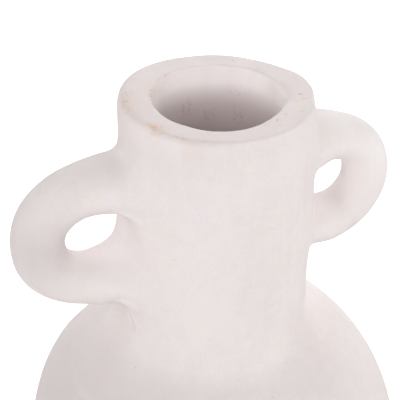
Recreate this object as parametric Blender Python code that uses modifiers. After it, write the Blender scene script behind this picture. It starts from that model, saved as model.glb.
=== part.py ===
"""Two-handled terracotta vase, built as a potter lutes it together from separate clay pieces.

A floor slab, a bowl, a shoulder dome, a neck, a lip coil and a fillet coil are turned about Z.
Two pulled handles are saddle-cut to the neck. Every luted joint keeps the thickness of its slip.
Metres, +Z up, origin at the centre of the underside, handles along X.
"""

import math

import bmesh
import bpy

# Belly: a spherical shoulder over a bowl whose side is a flatter arc
BELLY_RADIUS = 0.1005
BOWL_ARC_RADIUS = 0.130
FOOT_RADIUS = 0.050
BELLY_WALL = 0.011
FLOOR_THICKNESS = 0.012
FOOT_ROUND = 0.004

# Neck and lip
NECK_FOOT_RADIUS = 0.0480
NECK_TOP_RADIUS = 0.0420
NECK_HEIGHT = 0.123
NECK_WALL = 0.0115
LIP_HEIGHT = 0.011
LIP_OVERHANG = 0.0005
LIP_OUTER_ROUND = 0.004
LIP_INNER_ROUND = 0.002

# Luted joints
SLIP_FILM = 0.0003
LAP_HEIGHT = 0.006
FILLET_RADIUS = 0.028
FILLET_EDGE = 0.0008

# Handles: drops are measured down from the rim, reaches out from the neck's face
HANDLE_UPPER_DROP = 0.0345
HANDLE_UPPER_ELBOW_DROP = 0.0357
HANDLE_TIP_DROP = 0.0552
HANDLE_LOWER_ELBOW_DROP = 0.0763
HANDLE_LOWER_DROP = 0.0817
HANDLE_UPPER_ELBOW_REACH = 0.0230
HANDLE_TIP_REACH = 0.0381
HANDLE_LOWER_ELBOW_REACH = 0.0286
HANDLE_THICKNESS = 0.0226
HANDLE_WIDTH = 0.0248
HANDLE_ROOT_WIDTH = 0.038
HANDLE_ROOT_BLEND = 0.026
HANDLE_ROOT_DEPTH = 0.008

# Faceting
TURN_STEPS = 48
ARC_STEPS = 9
ROUND_STEPS = 3
HANDLE_RING_STEPS = 8
HANDLE_BEVEL_STEPS = 6
MERGE_DISTANCE = 0.00001

# Limewash over terracotta, as linear colour
LIMEWASH = (0.78, 0.72, 0.705, 1.0)
LIMEWASH_ROUGHNESS = 0.85

# Places worked out from the sizes above
BOWL_ARC_CENTRE = BELLY_RADIUS - BOWL_ARC_RADIUS
BELLY_SEAM = math.sqrt(BOWL_ARC_RADIUS**2 - (FOOT_RADIUS - BOWL_ARC_CENTRE) ** 2)
NECK_SEAT = BELLY_SEAM + math.sqrt(BELLY_RADIUS**2 - NECK_FOOT_RADIUS**2)
RIM = NECK_SEAT + NECK_HEIGHT
NECK_TOP = RIM - LIP_HEIGHT
NECK_LEAN = math.atan2(NECK_FOOT_RADIUS - NECK_TOP_RADIUS, NECK_HEIGHT)


def neck_radius(height):
    """Outer radius of the neck's straight taper, carried on above and below it."""
    return NECK_FOOT_RADIUS - (height - NECK_SEAT) * math.tan(NECK_LEAN)


def lip_radius():
    """Outer radius of the lip, a little proud of the neck that it lies on."""
    return neck_radius(NECK_TOP) + LIP_OVERHANG


def arc(centre, radius, start, end, steps):
    """Points (r, height) along a circular arc from one angle to another, both ends included."""
    points = []
    for step in range(steps + 1):
        angle = start + (end - start) * step / steps
        points.append((centre[0] + radius * math.cos(angle), centre[1] + radius * math.sin(angle)))
    return points


def side_arc(centre, radius, first_height, last_height, steps):
    """Points along the arc of a belly's wall between two heights."""
    first = math.asin((first_height - centre[1]) / radius)
    last = math.asin((last_height - centre[1]) / radius)
    return arc(centre, radius, first, last, steps)


def bowl_side(depth, first_height, last_height, steps=ARC_STEPS):
    """The bowl's side, at this depth inside its outer face."""
    centre = (BOWL_ARC_CENTRE, BELLY_SEAM)
    return side_arc(centre, BOWL_ARC_RADIUS - depth, first_height, last_height, steps)


def dome_side(depth, first_height, last_height, steps=ARC_STEPS):
    """The shoulder's side, at this depth inside its outer face."""
    return side_arc((0.0, BELLY_SEAM), BELLY_RADIUS - depth, first_height, last_height, steps)


def fillet_centre():
    """Centre of the circle that touches both the neck's taper and the shoulder's sphere.

    Its distance from the middle of the sphere is the sum of the two radii, and it lies on the neck's
    taper moved out by the fillet's radius, so its height is the upper root of a quadratic.
    """
    slope = math.tan(NECK_LEAN)
    start = neck_radius(BELLY_SEAM) + FILLET_RADIUS / math.cos(NECK_LEAN)
    reach = BELLY_RADIUS + FILLET_RADIUS
    square = 1 + slope**2
    rise = (start * slope + math.sqrt((start * slope) ** 2 - square * (start**2 - reach**2))) / square
    return start - slope * rise, BELLY_SEAM + rise


def fillet_face(gap):
    """The hollow face of the fillet, from the neck down to the shoulder, moved out by a gap.

    It stops short of both tangent points, where the coil is still FILLET_EDGE thick.
    """
    centre = fillet_centre()
    blunt = math.acos(1 - FILLET_EDGE / FILLET_RADIUS)
    on_neck = math.pi + NECK_LEAN + blunt
    on_shoulder = math.pi + math.atan2(centre[1] - BELLY_SEAM, centre[0]) - blunt
    return arc(centre, FILLET_RADIUS - gap, on_neck, on_shoulder, ARC_STEPS)


def clear_scene():
    """Removes every object of the startup scene."""
    for old in list(bpy.data.objects):
        bpy.data.objects.remove(old, do_unlink=True)


def new_collection(name):
    """A collection linked to the scene."""
    collection = bpy.data.collections.new(name)
    bpy.context.scene.collection.children.link(collection)
    return collection


def limewash_coat(piece):
    """Gives a piece its own matt white lime coat."""
    coat = bpy.data.materials.new(piece.name + "_limewash")
    coat.use_nodes = True
    shader = coat.node_tree.nodes["Principled BSDF"]
    shader.inputs["Base Color"].default_value = LIMEWASH
    shader.inputs["Roughness"].default_value = LIMEWASH_ROUGHNESS
    shader.inputs["Metallic"].default_value = 0.0
    coat.diffuse_color = LIMEWASH
    piece.data.materials.append(coat)


def turned(name, seat, profile, collection, on_axis=False):
    """Revolves (r, height) points about Z, on an object placed at the height of its seat.

    The points run down the outer side. They close into a loop, unless both ends are on the axis.
    """
    edges = [(point, point + 1) for point in range(len(profile) - 1)]
    if not on_axis:
        edges.append((len(profile) - 1, 0))
    mesh = bpy.data.meshes.new(name)
    mesh.from_pydata([(r, 0.0, height - seat) for r, height in profile], edges, [])
    piece = bpy.data.objects.new(name, mesh)
    piece.location.z = seat
    collection.objects.link(piece)
    screw = piece.modifiers.new("turn", "SCREW")
    screw.axis = "Z"
    screw.angle = math.tau
    screw.steps = TURN_STEPS
    screw.render_steps = TURN_STEPS
    screw.use_merge_vertices = True
    screw.merge_threshold = MERGE_DISTANCE
    screw.use_smooth_shade = True
    piece.modifiers.new("crisp_corners", "WEIGHTED_NORMAL")
    return piece


def floor_slab(collection):
    """The round slab that the pot starts on. Its edge carries the bowl's side down to a rounded foot."""
    round_path = BOWL_ARC_RADIUS - FOOT_ROUND
    round_angle = math.asin((FOOT_ROUND - BELLY_SEAM) / round_path)
    round_centre = (BOWL_ARC_CENTRE + round_path * math.cos(round_angle), FOOT_ROUND)
    edge_bottom = BELLY_SEAM + BOWL_ARC_RADIUS * math.sin(round_angle)
    profile = [(0.0, FLOOR_THICKNESS)]
    profile += bowl_side(0.0, FLOOR_THICKNESS, edge_bottom, ROUND_STEPS)
    profile += arc(round_centre, FOOT_ROUND, round_angle, -math.pi / 2, ROUND_STEPS)[1:]
    profile.append((0.0, 0.0))
    return turned("floor_slab", 0.0, profile, collection, on_axis=True)


def belly_bowl(collection):
    """The lower half of the belly. It stands on the slab, and has an upstand inside its rim."""
    bottom = FLOOR_THICKNESS + SLIP_FILM
    upstand_radius = BELLY_RADIUS - (BELLY_WALL + SLIP_FILM) / 2
    upstand_top = BELLY_SEAM + LAP_HEIGHT
    profile = [(upstand_radius, upstand_top), (upstand_radius, BELLY_SEAM)]
    profile += bowl_side(0.0, BELLY_SEAM, bottom)
    profile += bowl_side(BELLY_WALL, bottom, BELLY_SEAM)
    profile.append((BELLY_RADIUS - BELLY_WALL, upstand_top))
    return turned("belly_bowl", bottom, profile, collection)


def shoulder_dome(collection):
    """The upper half of the belly. Its skirt laps over the bowl, and its collar takes the neck."""
    skirt_radius = BELLY_RADIUS - (BELLY_WALL - SLIP_FILM) / 2
    skirt_bottom = BELLY_SEAM + SLIP_FILM
    lap_top = BELLY_SEAM + LAP_HEIGHT + SLIP_FILM
    mouth_radius = NECK_FOOT_RADIUS - NECK_WALL
    collar_radius = NECK_FOOT_RADIUS - (NECK_WALL + SLIP_FILM) / 2
    collar_top = NECK_SEAT + LAP_HEIGHT
    inner_mouth = BELLY_SEAM + math.sqrt((BELLY_RADIUS - BELLY_WALL) ** 2 - mouth_radius**2)
    profile = [(collar_radius, collar_top), (collar_radius, NECK_SEAT)]
    profile += dome_side(0.0, NECK_SEAT, skirt_bottom)
    profile += [(skirt_radius, skirt_bottom), (skirt_radius, lap_top)]
    profile += dome_side(BELLY_WALL, lap_top, inner_mouth)
    profile.append((mouth_radius, collar_top))
    return turned("shoulder_dome", skirt_bottom, profile, collection)


def neck_tube(collection):
    """The tapered neck. Its foot is rebated over the shoulder's collar."""
    bottom = NECK_SEAT + SLIP_FILM
    rebate_top = NECK_SEAT + LAP_HEIGHT + SLIP_FILM
    rebate_radius = NECK_FOOT_RADIUS - (NECK_WALL - SLIP_FILM) / 2
    profile = [
        (neck_radius(NECK_TOP), NECK_TOP),
        (neck_radius(bottom), bottom),
        (rebate_radius, bottom),
        (rebate_radius, rebate_top),
        (neck_radius(rebate_top) - NECK_WALL, rebate_top),
        (neck_radius(NECK_TOP) - NECK_WALL, NECK_TOP),
    ]
    return turned("neck_tube", bottom, profile, collection)


def lip_coil(collection):
    """The thick flat-topped coil that makes the rim."""
    bottom = NECK_TOP + SLIP_FILM
    outer = lip_radius()
    inner = neck_radius(NECK_TOP) - NECK_WALL
    outer_centre = (outer - LIP_OUTER_ROUND, RIM - LIP_OUTER_ROUND)
    inner_centre = (inner + LIP_INNER_ROUND, RIM - LIP_INNER_ROUND)
    profile = arc(outer_centre, LIP_OUTER_ROUND, math.pi / 2, 0.0, ROUND_STEPS)
    profile += [(outer, bottom + LIP_OVERHANG), (outer - LIP_OVERHANG, bottom), (inner, bottom)]
    profile += arc(inner_centre, LIP_INNER_ROUND, math.pi, math.pi / 2, ROUND_STEPS)
    return turned("lip_coil", bottom, profile, collection)


def fillet_coil(collection):
    """The coil smoothed into the corner between neck and shoulder, hollow-faced, with blunt edges."""
    face = fillet_face(0.0)
    top = face[0][1]
    corner = NECK_SEAT + SLIP_FILM
    edge_angle = math.atan2(face[-1][1] - BELLY_SEAM, face[-1][0])
    corner_angle = math.atan2(corner - BELLY_SEAM, neck_radius(corner) + SLIP_FILM)
    under_radius = BELLY_RADIUS + SLIP_FILM
    profile = face + arc((0.0, BELLY_SEAM), under_radius, edge_angle, corner_angle, ROUND_STEPS)
    profile.append((neck_radius(top) + SLIP_FILM, top))
    return turned("fillet_coil", corner, profile, collection)


def saddle_cutter(collection):
    """A core of the lip, neck, fillet and shoulder, thicker by the slip, that shapes the handle roots."""
    lip_side = lip_radius() + SLIP_FILM
    top = RIM + HANDLE_THICKNESS
    neck_start = NECK_TOP - LIP_OVERHANG
    face = fillet_face(SLIP_FILM)
    profile = [(0.0, top), (lip_side, top), (lip_side, NECK_TOP)]
    profile.append((neck_radius(neck_start) + SLIP_FILM, neck_start))
    profile.append((neck_radius(face[0][1]) + SLIP_FILM, face[0][1]))
    profile += face
    profile += dome_side(-SLIP_FILM, face[-1][1] - FILLET_EDGE, BELLY_SEAM)
    profile.append((0.0, BELLY_SEAM))
    cutter = turned("saddle_cutter", BELLY_SEAM, profile, collection, on_axis=True)
    cutter.hide_render = True
    cutter.display_type = "WIRE"
    return cutter


def handle_path():
    """Points of a handle's centre line below the rim, from inside the neck's wall round to it again."""
    drop_and_reach = [
        (HANDLE_UPPER_DROP, -HANDLE_ROOT_DEPTH),
        (HANDLE_UPPER_ELBOW_DROP, HANDLE_UPPER_ELBOW_REACH),
        (HANDLE_TIP_DROP, HANDLE_TIP_REACH),
        (HANDLE_LOWER_ELBOW_DROP, HANDLE_LOWER_ELBOW_REACH),
        (HANDLE_LOWER_DROP, -HANDLE_ROOT_DEPTH),
    ]
    return [(neck_radius(RIM - drop) + reach, 0.0, -drop) for drop, reach in drop_and_reach]


def handle_rope(name, collection):
    """A round rope of clay bent along the handle's path, as a closed mesh."""
    curve = bpy.data.curves.new(name, "CURVE")
    curve.dimensions = "3D"
    curve.resolution_u = HANDLE_RING_STEPS
    curve.bevel_depth = HANDLE_THICKNESS / 2
    curve.bevel_resolution = HANDLE_BEVEL_STEPS
    curve.use_fill_caps = True
    path = handle_path()
    spline = curve.splines.new("BEZIER")
    spline.bezier_points.add(len(path) - 1)
    for point, place in zip(spline.bezier_points, path):
        point.co = place
        point.handle_left_type = "AUTO"
        point.handle_right_type = "AUTO"
    guide = bpy.data.objects.new(name + "_guide", curve)
    collection.objects.link(guide)
    bpy.context.view_layer.update()
    evaluated = guide.evaluated_get(bpy.context.evaluated_depsgraph_get())
    mesh = bpy.data.meshes.new_from_object(evaluated)
    bpy.data.objects.remove(guide, do_unlink=True)
    shape = bmesh.new()
    shape.from_mesh(mesh)
    bmesh.ops.remove_doubles(shape, verts=shape.verts, dist=MERGE_DISTANCE)
    shape.to_mesh(mesh)
    shape.free()
    mesh.name = name
    return mesh


def spread_roots(mesh):
    """Flattens the rope to the handle's width, and spreads it wide where it is pressed onto the neck."""
    for point in mesh.vertices:
        clear = (point.co.x - neck_radius(RIM + point.co.z)) / HANDLE_ROOT_BLEND
        pressed = 1 - min(max(clear, 0.0), 1.0)
        eased = pressed * pressed * (3 - 2 * pressed)
        width = HANDLE_WIDTH + (HANDLE_ROOT_WIDTH - HANDLE_WIDTH) * eased
        point.co.y *= width / HANDLE_THICKNESS


def handle(name, turn, cutter, collection):
    """One pulled handle, turned about the vase's axis, with both roots saddle-cut to sit on the neck."""
    mesh = handle_rope(name, collection)
    spread_roots(mesh)
    mesh.shade_smooth()
    piece = bpy.data.objects.new(name, mesh)
    piece.location.z = RIM
    piece.rotation_euler.z = turn
    collection.objects.link(piece)
    saddle = piece.modifiers.new("saddle", "BOOLEAN")
    saddle.operation = "DIFFERENCE"
    saddle.object = cutter
    return piece


def main():
    """Builds every piece, coats it and hangs it on one empty at the origin."""
    clear_scene()
    vase = new_collection("terracotta_vase")
    cutter = saddle_cutter(new_collection("cutters"))
    turned_pieces = (floor_slab, belly_bowl, shoulder_dome, neck_tube, lip_coil, fillet_coil)
    pieces = [make(vase) for make in turned_pieces]
    pieces.append(handle("right_handle", 0.0, cutter, vase))
    pieces.append(handle("left_handle", math.pi, cutter, vase))
    origin = bpy.data.objects.new("vase_origin", None)
    vase.objects.link(origin)
    for piece in pieces:
        limewash_coat(piece)
        piece.parent = origin


main()
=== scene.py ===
"""Limewashed terracotta vase, dressed over its luted clay pieces.

Firing turns the potter's slab, bowl, dome, neck, coils and handles into one body, so one skin stands for
all of them. Geometry Nodes work out its distance field, mesh it and settle the mesh onto the true surface.
The mesh is then refined where the rim, the handle roots and the neck's foot need it, and settled again.
Metres, +Z up, origin at the centre of the underside, handles along X.
"""

import logging
import math
from dataclasses import dataclass, fields
from enum import Enum
from typing import Dict, List, Optional, Sequence, Tuple, Union

import bmesh
import bpy
import numpy as np
from mathutils import Matrix, Vector

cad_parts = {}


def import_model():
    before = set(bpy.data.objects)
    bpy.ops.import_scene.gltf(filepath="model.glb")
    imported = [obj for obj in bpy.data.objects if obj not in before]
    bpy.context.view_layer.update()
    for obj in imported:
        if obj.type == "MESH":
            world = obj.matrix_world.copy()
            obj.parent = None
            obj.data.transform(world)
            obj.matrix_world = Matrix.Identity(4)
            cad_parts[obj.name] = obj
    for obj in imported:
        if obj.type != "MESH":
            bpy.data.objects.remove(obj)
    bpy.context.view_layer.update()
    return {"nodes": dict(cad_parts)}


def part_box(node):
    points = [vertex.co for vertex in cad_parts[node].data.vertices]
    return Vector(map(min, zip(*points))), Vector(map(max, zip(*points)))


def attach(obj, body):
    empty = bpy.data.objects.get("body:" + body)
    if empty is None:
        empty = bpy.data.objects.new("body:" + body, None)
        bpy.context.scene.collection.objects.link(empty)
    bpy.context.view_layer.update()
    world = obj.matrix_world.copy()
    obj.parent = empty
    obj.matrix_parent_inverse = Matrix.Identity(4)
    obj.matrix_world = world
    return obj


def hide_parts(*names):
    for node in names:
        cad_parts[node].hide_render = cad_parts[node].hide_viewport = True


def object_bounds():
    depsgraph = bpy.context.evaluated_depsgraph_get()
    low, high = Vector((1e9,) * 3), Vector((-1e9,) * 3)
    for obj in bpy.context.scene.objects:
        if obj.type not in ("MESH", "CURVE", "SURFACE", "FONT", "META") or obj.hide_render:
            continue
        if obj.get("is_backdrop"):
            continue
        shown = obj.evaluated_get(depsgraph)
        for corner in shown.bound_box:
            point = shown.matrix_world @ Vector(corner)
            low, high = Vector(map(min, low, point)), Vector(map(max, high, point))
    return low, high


LOG = logging.getLogger("vase")
BODY = "root"
COAT_SLOT = "limewash"
SLIP_FILM = 0.0003
RIM_ATTRIBUTE = "rim"
# Thinner lime inside the hollow, and painted shade deeper in it
HOLLOW_TONE_AND_SHADE_ATTRIBUTE = "hollow"
LOGGED_DIGITS = 4

Colour = Tuple[float, float, float]
Point = Tuple[float, float, float]
Number = Union["Field", float]
Settings = Optional[Dict[str, object]]
Feeds = Optional[Dict[Union[str, int], object]]


# Node trees

class Socket(Enum):
    """Kinds of socket on a node tree."""

    NUMBER = "NodeSocketFloat"
    VECTOR = "NodeSocketVector"
    GEOMETRY = "NodeSocketGeometry"
    OBJECT = "NodeSocketObject"


class Field:
    """A value or a geometry in a node tree. Arithmetic on values adds the Math nodes that work it out."""

    def __init__(self, nodes: "Nodes", socket: bpy.types.NodeSocket) -> None:
        """Keeps the socket that it comes out of."""
        self.nodes = nodes
        self.socket = socket

    def __add__(self, other: Number) -> "Field":
        """The sum of two values."""
        return self.nodes.math("ADD", self, other)

    def __sub__(self, other: Number) -> "Field":
        """This value less the other."""
        return self.nodes.math("SUBTRACT", self, other)

    def __rsub__(self, other: Number) -> "Field":
        """The other value less this one."""
        return self.nodes.math("SUBTRACT", other, self)

    def __mul__(self, other: Number) -> "Field":
        """The product of two values."""
        return self.nodes.math("MULTIPLY", self, other)

    def __truediv__(self, other: Number) -> "Field":
        """This value over the other."""
        return self.nodes.math("DIVIDE", self, other)

    def __rtruediv__(self, other: Number) -> "Field":
        """The other value over this one."""
        return self.nodes.math("DIVIDE", other, self)

    def __neg__(self) -> "Field":
        """The value with its sign turned."""
        return self.nodes.math("MULTIPLY", self, -1.0)

    __radd__ = __add__
    __rmul__ = __mul__


class Nodes:
    """Adds nodes to one tree and joins them, in geometry and shader trees alike."""

    SPACING = 190.0
    ROW_LENGTH = 12
    NOISE_MIDDLE = 0.5
    # The Mix node's factor, first and second input by number, because their names repeat
    NUMBER_MIX = (0, 2, 3)
    COLOUR_MIX = (0, 6, 7)
    MIXED_COLOUR = 2

    def __init__(self, tree: bpy.types.NodeTree) -> None:
        """Keeps the tree."""
        self.tree = tree

    def add(self, kind: str, settings: Settings = None, feeds: Feeds = None) -> bpy.types.Node:
        """Adds a node.

        Args:
            kind: Blender's name for the node's type.
            settings: the node's properties.
            feeds: a value or a field for each input, by the input's name or number.

        Returns:
            The new node.
        """
        place = len(self.tree.nodes)
        node = self.tree.nodes.new(kind)
        node.location = (self.SPACING * (place % self.ROW_LENGTH), -self.SPACING * (place // self.ROW_LENGTH))
        for name, value in (settings or {}).items():
            setattr(node, name, value)
        for name, value in (feeds or {}).items():
            self.feed(node.inputs[name], value)
        return node

    def result(
        self,
        kind: str,
        settings: Settings = None,
        feeds: Feeds = None,
        output: Union[str, int] = 0,
    ) -> Field:
        """Adds a node and takes one of its outputs, by the output's name or number."""
        return Field(self, self.add(kind, settings, feeds).outputs[output])

    def given(self, label: str) -> Field:
        """One of the tree's own inputs."""
        return Field(self, self.tree.nodes["in"].outputs[label])

    def feed(self, socket: bpy.types.NodeSocket, value: object) -> None:
        """Links a field to an input, or sets a plain value on it."""
        if isinstance(value, Field):
            self.tree.links.new(value.socket, socket)
        else:
            socket.default_value = value

    def math(self, operation: str, *values: Number) -> Field:
        """A Math node's result."""
        return self.result("ShaderNodeMath", {"operation": operation}, dict(enumerate(values)))

    def hypot(self, first: Field, second: Field) -> Field:
        """The length of a vector of two parts."""
        return self.math("SQRT", first * first + second * second)

    def ease(self, value: Number, start: Number, end: Number) -> Field:
        """Rises smoothly from 0 where the value is start to 1 where it is end."""
        feeds = {"Value": value, "From Min": start, "From Max": end}
        return self.result("ShaderNodeMapRange", {"interpolation_type": "SMOOTHSTEP"}, feeds)

    def blend(self, factor: Number, first: Number, second: Number) -> Field:
        """A number between two others."""
        feeds = dict(zip(self.NUMBER_MIX, (factor, first, second)))
        return self.result("ShaderNodeMix", {"data_type": "FLOAT"}, feeds)

    def tint(self, factor: Number, first: object, second: object) -> Field:
        """A colour between two others."""
        feeds = dict(zip(self.COLOUR_MIX, (factor, first, second)))
        return self.result("ShaderNodeMix", {"data_type": "RGBA"}, feeds, self.MIXED_COLOUR)

    def split(self, vector: Field) -> Tuple[Field, Field, Field]:
        """The three parts of a vector."""
        node = self.add("ShaderNodeSeparateXYZ", feeds={0: vector})
        return tuple(Field(self, output) for output in node.outputs)

    def join(self, x: Number, y: Number, z: Number) -> Field:
        """A vector of three parts."""
        return self.result("ShaderNodeCombineXYZ", feeds={0: x, 1: y, 2: z})

    def noise(self, place: Field, size: Number, seed: float, detail: float) -> Field:
        """Seeded noise about zero, within one half either way.

        Args:
            place: the point that it is read at.
            size: length of one lump, in metres.
            seed: the fourth coordinate, which picks one pattern.
            detail: how many finer layers it has.

        Returns:
            The noise.
        """
        feeds = {"Vector": place, "W": seed, "Scale": 1.0 / size, "Detail": detail}
        return self.result("ShaderNodeTexNoise", {"noise_dimensions": "4D"}, feeds) - self.NOISE_MIDDLE


def new_tree(
    name: str,
    kind: str,
    inputs: Dict[str, Socket],
    outputs: Dict[str, Socket],
) -> bpy.types.NodeTree:
    """A node tree with named sockets, and with its Group Input and Group Output nodes.

    Args:
        name: the tree's name.
        kind: GeometryNodeTree or ShaderNodeTree.
        inputs: the kind of each input, by name.
        outputs: the kind of each output, by name.

    Returns:
        The new tree.
    """
    tree = bpy.data.node_groups.new(name, kind)
    for side, sockets in (("INPUT", inputs), ("OUTPUT", outputs)):
        for label, socket in sockets.items():
            tree.interface.new_socket(name=label, in_out=side, socket_type=socket.value)
    tree.nodes.new("NodeGroupInput").name = "in"
    tree.nodes.new("NodeGroupOutput").name = "out"
    return tree


def set_input(modifier: bpy.types.Modifier, name: str, value: object) -> None:
    """Sets a named input of a Geometry Nodes modifier by its socket's identifier."""
    for item in modifier.node_group.interface.items_tree:
        if item.item_type == "SOCKET" and item.in_out == "INPUT" and item.name == name:
            modifier[item.identifier] = value


# Objects and materials

def put_in_scene(name: str, data: bpy.types.ID) -> bpy.types.Object:
    """A new object in the scene, at the origin, with a mesh, curve, lamp or camera as its data."""
    made = bpy.data.objects.new(name, data)
    bpy.context.scene.collection.objects.link(made)
    return made


def take_mesh(made: bpy.types.Object) -> bpy.types.Mesh:
    """An object's mesh with its modifiers worked out. The object itself is removed."""
    bpy.context.view_layer.update()
    graph = bpy.context.evaluated_depsgraph_get()
    mesh = bpy.data.meshes.new_from_object(made.evaluated_get(graph))
    bpy.data.objects.remove(made, do_unlink=True)
    return mesh


def new_material(name: str) -> Tuple[bpy.types.Material, Nodes, bpy.types.Node]:
    """A new material, with its nodes and its shader."""
    material = bpy.data.materials.new(name)
    material.use_nodes = True
    return material, Nodes(material.node_tree), material.node_tree.nodes["Principled BSDF"]


# Sizes and shapes

def socket_name(field_name: str) -> str:
    """The label of a size's input, such as Rim Height for rim_height."""
    return field_name.replace("_", " ").title()


@dataclass(frozen=True)
class VaseSizes:
    """The vase's sizes in metres. Each one is a named input of the skin's node trees.

    The sizes without a default are read from the frame. The others are roundings, walls and swells.
    """

    rim_height: float
    rim_radius: float
    neck_foot_height: float
    neck_foot_radius: float
    seam_height: float
    belly_radius: float
    bowl_arc_radius: float
    floor_thickness: float
    belly_swell: float = 0.0004
    belly_wall: float = 0.0110
    mouth_radius: float = 0.0295
    mouth_left: float = 0.0009
    mouth_front: float = 0.0028
    mouth_round: float = 0.0014
    mouth_soft_round: float = 0.0090
    throat_draw: float = 0.0022
    bore_flare: float = 0.0065
    rim_rise_back: float = 0.0009
    rim_rise_right: float = 0.0005
    lip_round: float = 0.0105
    lip_front_round: float = 0.0040
    lip_edge: float = 0.0010
    foot_round: float = 0.0100
    fillet_front: float = 0.0250
    fillet_right: float = 0.0060
    fillet_left: float = 0.0140
    smear_height: float = 0.0190
    smear_blend: float = 0.0200
    left_handle_thickness: float = 0.0235
    right_handle_thickness: float = 0.0218
    handle_width: float = 0.0248
    handle_root_width: float = 0.0380
    handle_root_blend: float = 0.0260
    root_round: float = 0.0083
    tight_root_round: float = 0.0027
    loose_root_round: float = 0.0143
    flush_root_round: float = 0.0180
    hand_swell: float = 0.0006

    @classmethod
    def from_frame(cls) -> "VaseSizes":
        """Reads the main sizes from the boxes of the frame's clay pieces."""
        lip_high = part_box("lip_coil")[1]
        neck_low, neck_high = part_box("neck_tube")
        dome_low, dome_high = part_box("shoulder_dome")
        slab_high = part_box("floor_slab")[1]
        seam = dome_low.z - SLIP_FILM
        inset = dome_high.x - slab_high.x
        drop = seam - slab_high.z
        return cls(
            rim_height=lip_high.z,
            rim_radius=lip_high.x,
            neck_foot_height=neck_low.z - SLIP_FILM,
            neck_foot_radius=neck_high.x,
            seam_height=seam,
            belly_radius=dome_high.x,
            bowl_arc_radius=(inset**2 + drop**2) / (2 * inset),
            floor_thickness=slab_high.z,
        )

    @classmethod
    def sockets(cls) -> Dict[str, Socket]:
        """A number input for each size, by its label."""
        return {socket_name(item.name): Socket.NUMBER for item in fields(cls)}


@dataclass(frozen=True)
class HandPress:
    """A place where the hand pushed the clay out, or in where the swell is negative.

    Its centre is given by X, Y and the drop below the rim.
    """

    centre: Point
    reach: float
    swell: float


@dataclass(frozen=True)
class Lobe:
    """A stretch of the vase round its axis that stands out by a height at its middle bearing."""

    bearing_deg: float
    half_width_deg: float
    height: float


@dataclass(frozen=True)
class HandWork:
    """All that the potter's hand left uneven."""

    presses: Sequence[HandPress]
    mouth_lobes: Sequence[Lobe]
    rim_crowns: Sequence[Lobe]
    foot_lobes: Sequence[Lobe]


class Mark(Enum):
    """What time did to the lime, and where shade or light is painted onto it, by the mesh attribute that
    carries it to the material.
    """

    WEAR = "wear"
    STAIN = "stain"
    SMUDGE = "smudge"
    # Greyer lime, and painted shade on the left shoulder, under the left handle and in the right handle's
    # bend
    GREY = "grey"
    # Dust, and painted shade that darkens upward-facing parts of the shoulder
    DUST = "dust"
    # Fresh white lime, and painted light that lightens creases and the bore's back wall
    FRESH = "fresh"
    # Chips, and painted shade in creases under the lip and the mouth's edge
    CHIP = "chip"


@dataclass(frozen=True)
class MarkPatch:
    """A marked patch of the skin, about a point given by its bearing, radius and drop below the rim."""

    mark: Mark
    bearing_deg: float
    radius: float
    drop: float
    reach: float
    strength: float


def mark_patches(mark: Mark, *rows: Tuple[float, float, float, float, float]) -> List[MarkPatch]:
    """Patches of one mark, from rows of a bearing, radius, drop, reach and strength."""
    return [MarkPatch(mark, *row) for row in rows]


@dataclass(frozen=True)
class LipLine:
    """A thin line of one mark along an edge of the lip, as a row of small patches that fade to its end."""

    mark: Mark
    start_deg: float
    end_deg: float
    start_radius: float
    end_radius: float
    drop: float
    reach: float
    strength: float
    patches: int = 48

    def marks(self) -> List[MarkPatch]:
        """The patches, evenly spaced along the line."""
        bearings = np.linspace(self.start_deg, self.end_deg, self.patches)
        radii = np.linspace(self.start_radius, self.end_radius, self.patches)
        strengths = self.strength * (1.0 - np.linspace(0.0, 1.0, self.patches) ** 2)
        return [
            MarkPatch(self.mark, bearing, radius, self.drop, self.reach, strength)
            for bearing, radius, strength in zip(bearings, radii, strengths)
        ]


@dataclass(frozen=True)
class Zone:
    """A box of the skin that is meshed finer."""

    low: Point
    high: Point
    levels: int


class Side(Enum):
    """The two sides that carry a handle, by the sign of X."""

    LEFT = -1
    RIGHT = 1


@dataclass(frozen=True)
class EarHandle:
    """One pulled handle, a rope of clay bent round from the neck and back to it.

    Drops are measured down from the rim. Elbows and the tip also have a reach, out from the neck.
    """

    side: Side
    upper_drop: float
    upper_elbow: Tuple[float, float]
    tip: Tuple[float, float]
    lower_elbow: Tuple[float, float]
    lower_drop: float
    root_depth: float = 0.0080

    def centre_line(self, sizes: VaseSizes) -> List[Point]:
        """Points of the rope's centre line, from inside the neck's wall round to it again.

        Args:
            sizes: the vase's sizes.

        Returns:
            The points, from the upper root to the lower one.
        """
        taper = (sizes.neck_foot_radius - sizes.rim_radius) / (sizes.rim_height - sizes.neck_foot_height)
        upper_root = (self.upper_drop, -self.root_depth)
        lower_root = (self.lower_drop, -self.root_depth)
        points = []
        for drop, reach in (upper_root, self.upper_elbow, self.tip, self.lower_elbow, lower_root):
            distance = sizes.rim_radius + taper * drop + reach
            points.append((self.side.value * distance, 0.0, sizes.rim_height - drop))
        return points


# The fired skin

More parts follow.
